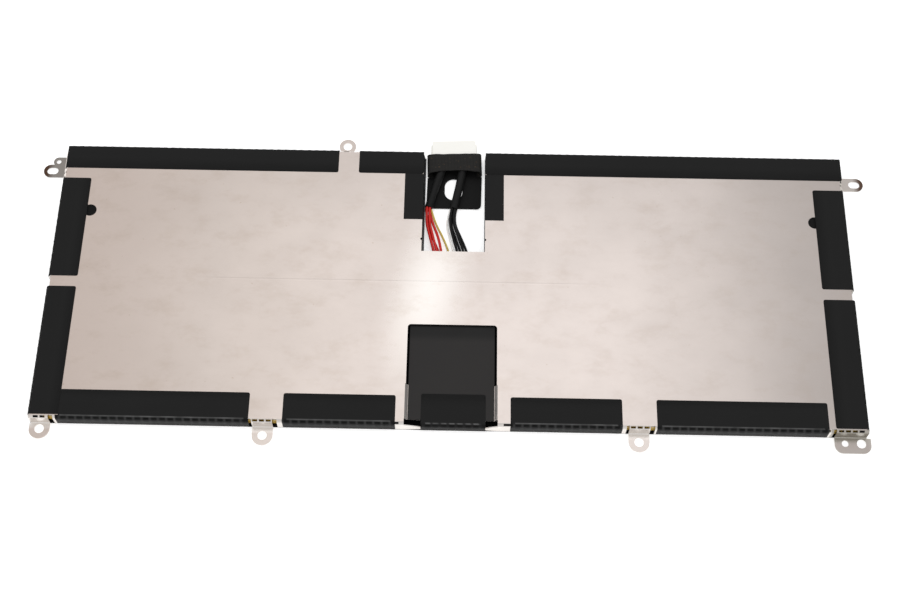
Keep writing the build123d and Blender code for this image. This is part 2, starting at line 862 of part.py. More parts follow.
with BuildPart() as plug_housing:
    with BuildSketch(plug_seat):
        with Locations((0, plug_length / 2)):
            RectangleRounded(plug_width, plug_length, plug_corner)
    extrude(amount=plug_height)
    with BuildSketch(plug_seat):
        with Locations((0, plug_length - plug_corner - plug_rib_length / 2)):
            Rectangle(plug_width + 2 * plug_rib, plug_rib_length)
    extrude(amount=plug_rib_height)
    with BuildSketch(plug_mouth):
        with GridLocations(plug_pitch, 0, plug_ways, 1):
            Rectangle(cavity_width, cavity_height)
    extrude(amount=cavity_depth, mode=Mode.SUBTRACT)
save(plug_housing, "plug_housing")

with BuildPart() as plug_contacts:
    with BuildSketch(plug_mouth.offset(contact_setback)):
        with GridLocations(plug_pitch, 0, plug_ways, 1):
            Rectangle(contact_width, contact_height)
    extrude(amount=cavity_depth - contact_setback)
save(plug_contacts, "plug_contacts")

# Cloth tape wound round the rear of the plug, the sleeves and the pull tab
tie_plane = Plane(
    origin=plug_seat.from_local_coords((0, tie_overlap, tie_low + tie_height / 2 - plug_low)),
    x_dir=plug_seat.x_dir,
    z_dir=-plug_seat.y_dir,
)
with BuildPart() as plug_tape:
    with BuildSketch(tie_plane):
        RectangleRounded(tie_width, tie_height, tie_corner)
        RectangleRounded(
            tie_width - 2 * tie_tape,
            tie_height - 2 * tie_tape,
            tie_corner - tie_tape,
            mode=Mode.SUBTRACT,
        )
    extrude(amount=tie_length)
save(plug_tape, "plug_tape")

# Pull tab, flat under the sleeves, with a finger hole and a narrower tail in the tape
with BuildPart() as tab_film:
    with BuildSketch(Plane.XY.offset(pull_tab_low)) as tab_outline:
        tab_left = pull_tab_x - pull_tab_width / 2
        tab_right = pull_tab_x + pull_tab_width / 2
        tape_edge = tie_overlap - tie_length - pull_tab_gap
        with BuildLine():
            Polyline(
                (tab_left, pull_tab_front),
                (tab_right, pull_tab_front),
                on_seat(tie_width / 2, tape_edge),
                on_seat(-tie_width / 2, tape_edge),
                close=True,
            )
        make_face()
        fillet(tab_outline.vertices().group_by(Axis.Y)[0], pull_tab_corner)
        with Locations(on_seat(0, tape_edge + pull_tab_tail_length / 2)):
            Rectangle(pull_tab_tail_width, pull_tab_tail_length, rotation=plug_turn)
        with Locations((finger_hole_x, pull_tab_front + finger_hole_setback)):
            SlotOverall(finger_hole_length, finger_hole_width, rotation=90, mode=Mode.SUBTRACT)
    extrude(amount=pull_tab)
save(tab_film, "pull_tab")
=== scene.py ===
"""Looks of a flat laptop battery pack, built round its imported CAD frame.

The steel cover and the inner pieces keep their CAD meshes and get finishes. The films that wrap the folds,
the wires, the sleeves and the cloth tape are rebuilt here. Lengths are in metres unless a name ends in _mm.
"""

import json
import logging
import math
from dataclasses import asdict, dataclass, field
from enum import Enum
from functools import lru_cache
from typing import Any

import bmesh
import bpy
from bpy.types import ID, Material, Node, NodeSocket, NodeTree, Object
from mathutils import Matrix, Vector, noise

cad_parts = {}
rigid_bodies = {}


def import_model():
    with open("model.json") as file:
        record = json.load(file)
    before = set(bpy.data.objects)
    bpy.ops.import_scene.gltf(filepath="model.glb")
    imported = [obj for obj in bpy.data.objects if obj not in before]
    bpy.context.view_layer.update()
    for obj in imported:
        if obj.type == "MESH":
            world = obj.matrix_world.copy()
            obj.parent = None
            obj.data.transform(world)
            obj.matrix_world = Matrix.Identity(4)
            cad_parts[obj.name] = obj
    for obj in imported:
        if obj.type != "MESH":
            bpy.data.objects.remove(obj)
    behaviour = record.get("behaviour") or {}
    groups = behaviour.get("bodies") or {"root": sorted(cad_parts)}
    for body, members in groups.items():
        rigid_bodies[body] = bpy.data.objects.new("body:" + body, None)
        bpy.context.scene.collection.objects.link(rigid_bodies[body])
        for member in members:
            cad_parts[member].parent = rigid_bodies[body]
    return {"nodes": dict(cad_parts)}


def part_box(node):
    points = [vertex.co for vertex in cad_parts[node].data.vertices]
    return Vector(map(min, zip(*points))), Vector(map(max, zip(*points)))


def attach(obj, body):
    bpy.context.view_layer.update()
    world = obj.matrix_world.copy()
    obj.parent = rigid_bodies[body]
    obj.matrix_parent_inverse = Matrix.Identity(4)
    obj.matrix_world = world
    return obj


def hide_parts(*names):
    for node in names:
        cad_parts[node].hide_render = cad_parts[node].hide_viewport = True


LOG = logging.getLogger("battery")
MM = 0.001


def linear(code: str) -> tuple[float, float, float, float]:
    """Turns an sRGB hex colour into linear RGBA.

    Args:
        code: Colour such as "#c8201c".

    Returns:
        Linear red, green and blue, and an alpha of 1.
    """
    channels = [int(code[i:i + 2], 16) / 255 for i in (1, 3, 5)]
    red, green, blue = (c / 12.92 if c <= 0.04045 else ((c + 0.055) / 1.055) ** 2.4 for c in channels)
    return red, green, blue, 1.0


def per_mm(size_mm: float) -> float:
    """Gives the texture scale whose features are size_mm wide on Object coordinates."""
    return 1.0 / (size_mm * MM)


class Step(Enum):
    """A kind of node in a table of steps: its type, the setting that the table gives, and its output."""

    MATH = ("ShaderNodeMath", "operation", 0)
    RAMP = ("ShaderNodeMapRange", "interpolation_type", 0)
    MIX = ("ShaderNodeMix", "data_type", 2)
    NOISE = ("ShaderNodeTexNoise", "noise_dimensions", 0)
    WAVE = ("ShaderNodeTexWave", "bands_direction", 1)
    BUMP = ("ShaderNodeBump", "invert", 0)
    STRETCH = ("ShaderNodeMapping", "vector_type", 0)
    LENGTH = ("ShaderNodeVectorMath", "operation", "Value")
    MARK = ("ShaderNodeAttribute", "attribute_name", "Fac")
    FACING = ("ShaderNodeNewGeometry", "label", "True Normal")
    X = ("ShaderNodeSeparateXYZ", "label", 0)
    Y = ("ShaderNodeSeparateXYZ", "label", 1)
    Z = ("ShaderNodeSeparateXYZ", "label", 2)


StepRow = tuple[Step, str | bool, dict[str | int, Any]]


def add_node(
    tree: NodeTree, kind: str, inputs: dict[str | int, Any] | None = None, **settings: Any
) -> Node:
    """Adds a node with its settings, input values and links.

    Args:
        tree: Tree that gets the node.
        kind: Type of the node.
        inputs: Value of each input by name or number. A socket is linked, and anything else is set.
        settings: Properties of the node.

    Returns:
        The new node.
    """
    node = tree.nodes.new(kind)
    for name, value in settings.items():
        setattr(node, name, value)
    for key, value in (inputs or {}).items():
        if isinstance(value, NodeSocket):
            tree.links.new(value, node.inputs[key])
        else:
            node.inputs[key].default_value = value
    return node


def add_steps(
    tree: NodeTree, at: dict[str, NodeSocket], steps: dict[str, StepRow]
) -> None:
    """Adds the nodes of a table in order, and names the output of each.

    Args:
        tree: Tree that gets the nodes.
        at: Sockets by name. The new nodes' outputs join them.
        steps: For each new name, the kind of node, its setting and its inputs. An input that is one of the
            names stands for that socket.
    """
    for name, (step, option, inputs) in steps.items():
        kind, setting, output = step.value
        known = {key: at.get(value, value) for key, value in inputs.items()}
        at[name] = add_node(tree, kind, known, **{setting: option}).outputs[output]


@dataclass(frozen=True)
class Ramp:
    """A mask that goes from one share to another over a span of its input. A name stands for a socket."""

    span: tuple[float | str, float | str]
    share: tuple[float | str, float]
    shape: str = "LINEAR"

    def over(self, value: str) -> StepRow:
        """Gives the step that draws the ramp over a named socket."""
        names = ("Value", "From Min", "From Max", "To Min", "To Max")
        return Step.RAMP, self.shape, dict(zip(names, (value, *self.span, *self.share)))


def new_piece(name: str, data: ID) -> Object:
    """Puts a mesh or curve in the scene as an object at the origin."""
    piece = bpy.data.objects.new(name, data)
    bpy.context.scene.collection.objects.link(piece)
    return piece


@dataclass(frozen=True)
class Finish:
    """A material that is made once, on Object coordinates."""

    name: str

    @lru_cache
    def material(self) -> Material:
        """Makes the material, or gives the one made before.

        Returns:
            The material.
        """
        material = bpy.data.materials.new(self.name)
        material.use_nodes = True
        tree = material.node_tree
        tree.nodes.clear()
        at = {"place": add_node(tree, "ShaderNodeTexCoord").outputs["Object"]}
        add_steps(tree, at, self.steps())
        looks = {name: at.get(value, value) for name, value in self.looks().items()}
        shader = add_node(tree, "ShaderNodeBsdfPrincipled", looks)
        add_node(tree, "ShaderNodeOutputMaterial", {"Surface": shader.outputs["BSDF"]})
        return material

    def steps(self) -> dict[str, StepRow]:
        """Gives the steps that lead from the place to the looks."""
        raise NotImplementedError

    def looks(self) -> dict[str, Any]:
        """Gives the shader's inputs, as values or by the names of steps."""
        raise NotImplementedError


@dataclass(frozen=True)
class Grained(Finish):
    """A finish that clouds between two tones and carries a fine grain."""

    dark: str
    light: str
    roughness: tuple[float, float]
    cloud_mm: float = 5.0
    grain_mm: float = 0.4
    relief_mm: float = 0.006
    metallic: float = 0.0
    specular: float = 0.5
    cloud_detail: float = 3.0
    grain_detail: float = 2.0
    relief_strength: float = 0.6

    def steps(self) -> dict[str, StepRow]:
        """Gives the steps of the clouds and the grain.

        Returns:
            The steps by name.
        """
        clouds = {"Vector": "place", "Scale": per_mm(self.cloud_mm), "Detail": self.cloud_detail}
        grain = {"Vector": "place", "Scale": per_mm(self.grain_mm), "Detail": self.grain_detail}
        relief = {"Height": "grain", "Distance": self.relief_mm * MM, "Strength": self.relief_strength}
        return {
            "cloud": (Step.NOISE, "3D", clouds),
            "grain": (Step.NOISE, "3D", grain),
            "tone": (Step.MIX, "RGBA", {0: "cloud", 6: linear(self.dark), 7: linear(self.light)}),
            "gloss": Ramp((0.0, 1.0), self.roughness).over("cloud"),
            "relief": (Step.BUMP, False, relief),
        }

    def looks(self) -> dict[str, Any]:
        """Gives the shader's inputs, as values or by the names of steps."""
        values = {"Metallic": self.metallic, "Specular IOR Level": self.specular}
        return {"Base Color": "tone", "Roughness": "gloss", "Normal": "relief"} | values


@dataclass(frozen=True)
class Blotches:
    """A noise: the size of its features along X, Y and Z, and how much finer detail it carries."""

    size_mm: tuple[float, float, float]
    detail: float = 2.0
    roughness: float = 0.5


@dataclass(frozen=True)
class RolledSteel(Finish):
    """Thin cold rolled stainless sheet: pinkish grey, half matt, streaked and clouded by handling, with
    painted light and shade on its streak, bends, ends and end ears.
    """

    dark: str = "#b4aba6"
    light: str = "#cdc3be"
    stain: str = "#a59484"
    # Painted shade over the right half, and painted light at the far left.
    cool: str = "#a09995"
    warm: str = "#ddcbc2"
    # Painted highlight laid on the burnished streak.
    shine: str = "#d0cbc7"
    # Painted highlight on bends, walls and the front ears' stubs, and a dimmer one at the far right.
    bend: str = "#f1ece7"
    dull: str = "#b4b0a7"
    # Dark brown band over the outer rims of the end ears.
    burnt: str = "#4a2f1c"
    # Painted shade on the end ears, much darker on the left one.
    left_ear: str = "#7d7b77"
    right_ear: str = "#c2bbb5"
    roughness: tuple[float, float] = (0.25, 0.33)
    burnished: float = 0.23
    burnish_mm: tuple[float, float] = (-8.0, -3.0)
    burnish_reach_mm: tuple[float, float] = (18.0, 52.0)
    burnish_turn: float = math.radians(-12.0)
    clouds: Blotches = Blotches((40.0, 30.0, 30.0), 8.0, 0.66)
    stains: Blotches = Blotches((12.0, 7.0, 7.0), 7.0, 0.7)
    grain: Blotches = Blotches((14.0, 0.5, 0.5))
    grain_relief_mm: float = 0.006
    grain_strength: float = 0.5
    speck_mm: float = 1.6
    crease_y_mm: float = 0.0
    crease_width_mm: float = 0.5
    crease_x_mm: tuple[float, float] = (-101.0, 60.0)
    crease_fade_mm: float = 20.0
    crease_relief_mm: float = 0.04
    crease_strength: float = 0.45
    # Past this x the painted fold highlight is the dimmer one.
    dull_x_mm: float = 132.0
    # Masks over the stain and speck noises, and over the upright share of the normal, which paints the
    # highlight on bends and walls.
    patch: Ramp = Ramp((0.5, 0.82), (0.0, 0.28))
    spot: Ramp = Ramp((0.74, 0.82), (0.0, 0.5))
    turned: Ramp = Ramp((0.95, 0.6), (0.0, 0.8))
    # Masks over X: painted shade towards the left end and over the right half, and painted light at the far
    # left.
    left_end: Ramp = Ramp((-75.0 * MM, 0.0), (0.22, 0.0))
    far_left: Ramp = Ramp((-140.0 * MM, -85.0 * MM), (0.55, 0.0))
    right_half: Ramp = Ramp((88.0 * MM, 132.0 * MM), (0.0, 0.33), "SMOOTHSTEP")
    # Masks over Y, at the front fold and the ears' feet, for the painted highlight on the ears' stubs.
    front: Ramp = Ramp((-54.6 * MM, -53.8 * MM), (1.0, 0.0))
    foot: Ramp = Ramp((-57.5 * MM, -55.6 * MM), (0.12, 0.9))
    # Masks over the distance from the middle, on the end ears: painted shade over the ears, and a dark brown
    # band over their outer rims.
    shade: Ramp = Ramp((145.1 * MM, 146.4 * MM), (0.0, 0.8))
    outer_rim: Ramp = Ramp((150.3 * MM, 152.6 * MM), (0.0, 0.9))

    def steps(self) -> dict[str, StepRow]:
        """Gives the steps of the noises, the gloss, the colour and the relief.

        Returns:
            The steps by name.
        """
        steps: dict[str, StepRow] = {
            "x": (Step.X, "x", {0: "place"}),
            "y": (Step.Y, "y", {0: "place"}),
            "facing": (Step.FACING, "facing", {}),
            "upright": (Step.Z, "upright", {0: "facing"}),
            "speck": (Step.NOISE, "3D", {"Vector": "place", "Scale": per_mm(self.speck_mm)}),
        }
        for name, kind in (("cloud", self.clouds), ("stain", self.stains), ("grain", self.grain)):
            scale = tuple(per_mm(size) for size in kind.size_mm)
            steps[f"{name}_place"] = (Step.STRETCH, "POINT", {"Vector": "place", "Scale": scale})
            depth = {"Scale": 1.0, "Detail": kind.detail, "Roughness": kind.roughness}
            steps[name] = (Step.NOISE, "3D", {"Vector": f"{name}_place"} | depth)
        return steps | self.polish_and_highlight() | self.paint() | self.relief()

    def looks(self) -> dict[str, Any]:
        """Gives the shader's inputs, as values or by the names of steps."""
        return {"Base Color": "rimmed", "Roughness": "smooth", "Normal": "folded", "Metallic": 1.0}

    def polish_and_highlight(self) -> dict[str, StepRow]:
        """Gives the steps of the gloss, with one streak that handling has burnished and that also carries a
        painted highlight.

        Returns:
            The steps. The last one, smooth, is the roughness.
        """
        streak = {
            "Vector": "place",
            "Location": tuple(c * MM for c in (*self.burnish_mm, 0.0)),
            "Rotation": (0.0, 0.0, self.burnish_turn),
            "Scale": (*(c * MM for c in self.burnish_reach_mm), 1.0),
        }
        return {
            "about_streak": (Step.STRETCH, "TEXTURE", streak),
            "off_streak": (Step.LENGTH, "LENGTH", {0: "about_streak"}),
            "gloss": Ramp((0.0, 1.0), self.roughness).over("stain"),
            "polish_and_highlight": Ramp((0.0, 1.0), (1.0, 0.0), "SMOOTHSTEP").over("off_streak"),
            "smooth": Ramp((0.0, 1.0), ("gloss", self.burnished)).over("polish_and_highlight"),
        }

    def paint(self) -> dict[str, StepRow]:
        """Gives the steps of the colour: clouds, stains and specks, painted light and shade across the plate,
        on the streak, bends and end ears, and dark brown bands on the ears' rims.

        Returns:
            The steps. The last one is the colour.
        """
        ears = {0: "right_end", 6: linear(self.left_ear), 7: linear(self.right_ear)}
        return {
            "level": (Step.MATH, "ABSOLUTE", {0: "upright"}),
            "out": (Step.MATH, "ABSOLUTE", {0: "x"}),
            "patch": self.patch.over("stain"),
            "spot": self.spot.over("speck"),
            "left_end": self.left_end.over("x"),
            "right_half": self.right_half.over("x"),
            "far_left": self.far_left.over("x"),
            "turned": self.turned.over("level"),
            "front": self.front.over("y"),
            "foot": self.foot.over("y"),
            "shade": self.shade.over("out"),
            "outer_rim": self.outer_rim.over("out"),
            "soil": (Step.MATH, "MAXIMUM", {0: "patch", 1: "spot"}),
            # Real stains and specks, plus painted shade towards the left end.
            "stain_and_left_shade": (Step.MATH, "ADD", {0: "soil", 1: "left_end"}),
            # Painted highlight on upright faces and on the front ears' stubs.
            "stub": (Step.MATH, "MULTIPLY", {0: "front", 1: "foot"}),
            "fold_lit_share": (Step.MATH, "MAXIMUM", {0: "turned", 1: "stub"}),
            "far_right": (Step.MATH, "GREATER_THAN", {0: "x", 1: self.dull_x_mm * MM}),
            "right_end": (Step.MATH, "GREATER_THAN", {0: "x", 1: 0.0}),
            "tone": (Step.MIX, "RGBA", {0: "cloud", 6: linear(self.dark), 7: linear(self.light)}),
            "fold_light_tone": (Step.MIX, "RGBA", {0: "far_right", 6: linear(self.bend), 7: linear(self.dull)}),
            "ear_shade": (Step.MIX, "RGBA", ears),
            "right_shaded": (Step.MIX, "RGBA", {0: "right_half", 6: "tone", 7: linear(self.cool)}),
            "left_lit": (Step.MIX, "RGBA", {0: "far_left", 6: "right_shaded", 7: linear(self.warm)}),
            # Painted highlight on the streak.
            "highlighted": (Step.MIX, "RGBA", {0: "polish_and_highlight", 6: "left_lit", 7: linear(self.shine)}),
            "stained_and_shaded": (Step.MIX, "RGBA", {0: "stain_and_left_shade", 6: "highlighted", 7: linear(self.stain)}),
            "fold_lit": (Step.MIX, "RGBA", {0: "fold_lit_share", 6: "stained_and_shaded", 7: "fold_light_tone"}),
            # Painted shade on the end ears.
            "shaded": (Step.MIX, "RGBA", {0: "shade", 6: "fold_lit", 7: "ear_shade"}),
            # Dark brown band on the end ears' outer rims.
            "rimmed": (Step.MIX, "RGBA", {0: "outer_rim", 6: "shaded", 7: linear(self.burnt)}),
        }

    def relief(self) -> dict[str, StepRow]:
        """Gives the steps of the rolling grain and the faint crease over the joint between the rows of cells.

        Returns:
            The steps. The last one, folded, is the normal.
        """
        middle = 0.5 * sum(self.crease_x_mm) * MM
        half = 0.5 * (self.crease_x_mm[1] - self.crease_x_mm[0]) * MM
        width = self.crease_width_mm * MM
        fine = {"Height": "grain", "Distance": self.grain_relief_mm * MM, "Strength": self.grain_strength}
        fold = {"Height": "crease", "Distance": self.crease_relief_mm * MM, "Strength": self.crease_strength}
        return {
            "off_line": (Step.MATH, "SUBTRACT", {0: "y", 1: self.crease_y_mm * MM}),
            "from_line": (Step.MATH, "ABSOLUTE", {0: "off_line"}),
            "ridge": Ramp((0.0, width), (1.0, 0.0), "SMOOTHSTEP").over("from_line"),
            "off_middle": (Step.MATH, "SUBTRACT", {0: "x", 1: middle}),
            "from_middle": (Step.MATH, "ABSOLUTE", {0: "off_middle"}),
            "run": Ramp((half - self.crease_fade_mm * MM, half), (1.0, 0.0)).over("from_middle"),
            "crease": (Step.MATH, "MULTIPLY", {0: "ridge", 1: "run"}),
            "fine": (Step.BUMP, False, fine),
            "folded": (Step.BUMP, False, fold | {"Normal": "fine"}),
        }


@dataclass(frozen=True)
class GlintFilm(Grained):
    """A black film with painted highlights on the lips, crest and bridges of the slots under it, and painted
    shade in its dents.
    """

    # Painted highlight grey on the lips, crest and bridges of the slots.
    rubbed: str = "#868686"
    shadowed: str = "#080808"
    sunk_roughness: float = 0.95

    def steps(self) -> dict[str, StepRow]:
        """Gives the steps of the film, the painted shade in its dents and its painted highlights.

        Returns:
            The steps by name.
        """
        return super().steps() | {
            "dent": (Step.MARK, "dent", {}),
            "rub": (Step.MARK, "rub", {}),
            "sunk": (Step.MIX, "RGBA", {0: "dent", 6: "tone", 7: linear(self.shadowed)}),
            "glinted": (Step.MIX, "RGBA", {0: "rub", 6: "sunk", 7: linear(self.rubbed)}),
            "dulled": Ramp((0.0, 1.0), ("gloss", self.sunk_roughness)).over("dent"),
        }

    def looks(self) -> dict[str, Any]:
        """Gives the shader's inputs, as values or by the names of steps."""
        return super().looks() | {"Base Color": "glinted", "Roughness": "dulled"}


@dataclass(frozen=True)
class BandedFilm(Grained):
    """A film with painted shade along its far edge, where it dips under the plate."""

    # Painted shade along the far edge, where the plate's edge shadows the film.
    band: str = "#121212"
    dip: Ramp = Ramp((-23.5 * MM, -20.0 * MM), (0.0, 0.75), "SMOOTHSTEP")

    def steps(self) -> dict[str, StepRow]:
        """Gives the steps of the film and the painted shade along its far edge.

        Returns:
            The steps by name.
        """
        return super().steps() | {
            "y": (Step.Y, "y", {0: "place"}),
            "dip": self.dip.over("y"),
            "edge_shaded": (Step.MIX, "RGBA", {0: "dip", 6: "tone", 7: linear(self.band)}),
        }

    def looks(self) -> dict[str, Any]:
        """Gives the shader's inputs, as values or by the names of steps."""
        return super().looks() | {"Base Color": "edge_shaded"}


@dataclass(frozen=True)
class WovenTape(Finish):
    """Black acetate cloth tape: dull crossed threads with a few brown flecks of adhesive."""

    thread: str = "#2f2e2d"
    gap: str = "#1d1c1b"
    fleck: str = "#4a3c2c"
    thread_mm: float = 0.55
    wander: float = 0.6
    fleck_mm: float = 0.9
    flecks: Ramp = Ramp((0.64, 0.76), (0.0, 1.0))
    relief_mm: float = 0.05
    relief_strength: float = 0.8
    roughness: float = 0.8
    specular: float = 0.2

    def steps(self) -> dict[str, StepRow]:
        """Gives the steps of the threads, drawn about twice as coarse as real ones to show, and the flecks.

        Returns:
            The steps by name.
        """
        # A wave texture repeats every pi / 10 of its scaled length.
        scale = per_mm(self.thread_mm) * math.pi / 10
        threads = {"Vector": "place", "Scale": scale, "Distortion": self.wander}
        relief = {"Height": "cloth", "Distance": self.relief_mm * MM, "Strength": self.relief_strength}
        return {
            "warp": (Step.WAVE, "X", threads),
            "weft": (Step.WAVE, "Y", threads),
            "cloth": (Step.MATH, "MULTIPLY", {0: "warp", 1: "weft"}),
            "tone": (Step.MIX, "RGBA", {0: "cloth", 6: linear(self.gap), 7: linear(self.thread)}),
            "speck": (Step.NOISE, "3D", {"Vector": "place", "Scale": per_mm(self.fleck_mm)}),
            "spot": self.flecks.over("speck"),
            "flecked": (Step.MIX, "RGBA", {0: "spot", 6: "tone", 7: linear(self.fleck)}),
            "relief": (Step.BUMP, False, relief),
        }

    def looks(self) -> dict[str, Any]:
        """Gives the shader's inputs, as values or by the names of steps."""
        values = {"Roughness": self.roughness, "Specular IOR Level": self.specular}
        return {"Base Color": "flecked", "Normal": "relief"} | values


STEEL = RolledSteel("cold_rolled_stainless_steel")
CLOTH = WovenTape("woven_acetate_tape")
# Matt black polyester film: even, satin, hardly any gloss.
FILM = GlintFilm(
    "satin_polyester_film", "#161616", "#1c1c1c", (0.5, 0.62), cloud_mm=18.0, grain_mm=0.7, specular=0.13
)
# The pull tab's polyester: the same, a shade blacker.
TAB_FILM = Grained(
    "black_polyester_strip", "#121212", "#171717", (0.5, 0.6), cloud_mm=9.0, grain_mm=0.7, specular=0.1
)
# Thinner grey black film over the window, a little browner and shinier.
WINDOW_FILM = BandedFilm(
    "grey_polycarbonate_film", "#232121", "#2b2928", (0.42, 0.55), cloud_mm=12.0, grain_mm=0.7, specular=0.2
)
# Matt polyester base film, the same black a shade duller.
BASE_FILM = Grained(
    "matt_polyester_base_film", "#0d0d0d", "#141414", (0.6, 0.7),
    cloud_mm=20.0, grain_mm=0.8, relief_mm=0.008, specular=0.12,
)
# Silicone jackets of the wires: soft, lightly glossy, evenly coloured.
JACKETS = {
    colour: Grained(f"{colour}_silicone_jacket", dark, light, (0.35, 0.45), specular=specular)
    for colour, dark, light, specular in (
        ("red", "#bd140f", "#d6241d", 0.35),
        ("yellow", "#c0a648", "#d3bd62", 0.35),
        ("white", "#f3f2ee", "#fdfcfa", 0.35),
        ("black", "#0a0a0a", "#121212", 0.16),
    )
}
# Heat shrink sleeve: black, dull, faintly rippled.
SLEEVE = Grained(
    "shrunk_polyolefin_sleeve", "#131313", "#1a1a1a", (0.5, 0.62),
    cloud_mm=2.5, grain_mm=0.5, relief_mm=0.012, specular=0.15,
)
# Moulded nylon plug: cream white with a soft moulded sheen.
NYLON = Grained("moulded_nylon", "#fcfaf3", "#fffefa", (0.4, 0.5), cloud_mm=4.0, relief_mm=0.004)
# Polyimide tape: clear amber yellow and glossy.
POLYIMIDE = Grained("polyimide_tape", "#c8a040", "#e6c871", (0.2, 0.3), grain_mm=0.6, relief_mm=0.004)
# Aluminium laminate pouch: silver grey, slightly crinkled.
POUCH = Grained(
    "aluminium_laminate_pouch", "#8f9194", "#a9abae", (0.3, 0.42),
    cloud_mm=9.0, grain_mm=1.6, relief_mm=0.03, metallic=0.9,
)
# Black acrylic foam tape between the cells and the cover: dull and soft.
FOAM = Grained(
    "black_acrylic_foam_tape", "#0e0e0e", "#161616", (0.75, 0.85),
    cloud_mm=4.0, grain_mm=0.5, relief_mm=0.02, specular=0.15,
)
# Nickel strip of the cell tabs: bright, warm grey.
NICKEL = Grained(
    "nickel_strip", "#b3afa6", "#c9c5bc", (0.25, 0.35), cloud_mm=4.0, relief_mm=0.004, metallic=1.0
)
# Solder mask on glass epoxy: deep green, glossy.
BOARD = Grained("green_solder_mask", "#0f3a22", "#17502f", (0.3, 0.4), grain_mm=0.5)
# Epoxy moulding of the chips: black, satin.
EPOXY = Grained("black_epoxy_moulding", "#1a1a1b", "#232324", (0.55, 0.65), cloud_mm=2.0, grain_mm=0.3)
# Fired ceramic of the capacitors: tan, matt.
CERAMIC = Grained(
    "fired_ceramic", "#8a6a48", "#a07d58", (0.5, 0.6), cloud_mm=1.5, grain_mm=0.3, relief_mm=0.004
)
# Tinned copper pads: bright grey.
TIN = Grained(
    "tinned_copper", "#b9babb", "#d2d3d4", (0.25, 0.4),
    cloud_mm=1.5, grain_mm=0.3, relief_mm=0.01, metallic=1.0,
)
# Gilt phosphor bronze contacts: bright yellow metal.
BRONZE = Grained(
    "gilt_phosphor_bronze", "#b8923e", "#d3b05a", (0.25, 0.35),
    cloud_mm=1.5, grain_mm=0.3, relief_mm=0.004, metallic=1.0,
)


class Side(Enum):
    """A side of the pack: the axis along it, the axis out of it, and the sign of outwards."""

    BACK = (0, 1, 1)
    FRONT = (0, 1, -1)
    LEFT = (1, 0, -1)
    RIGHT = (1, 0, 1)


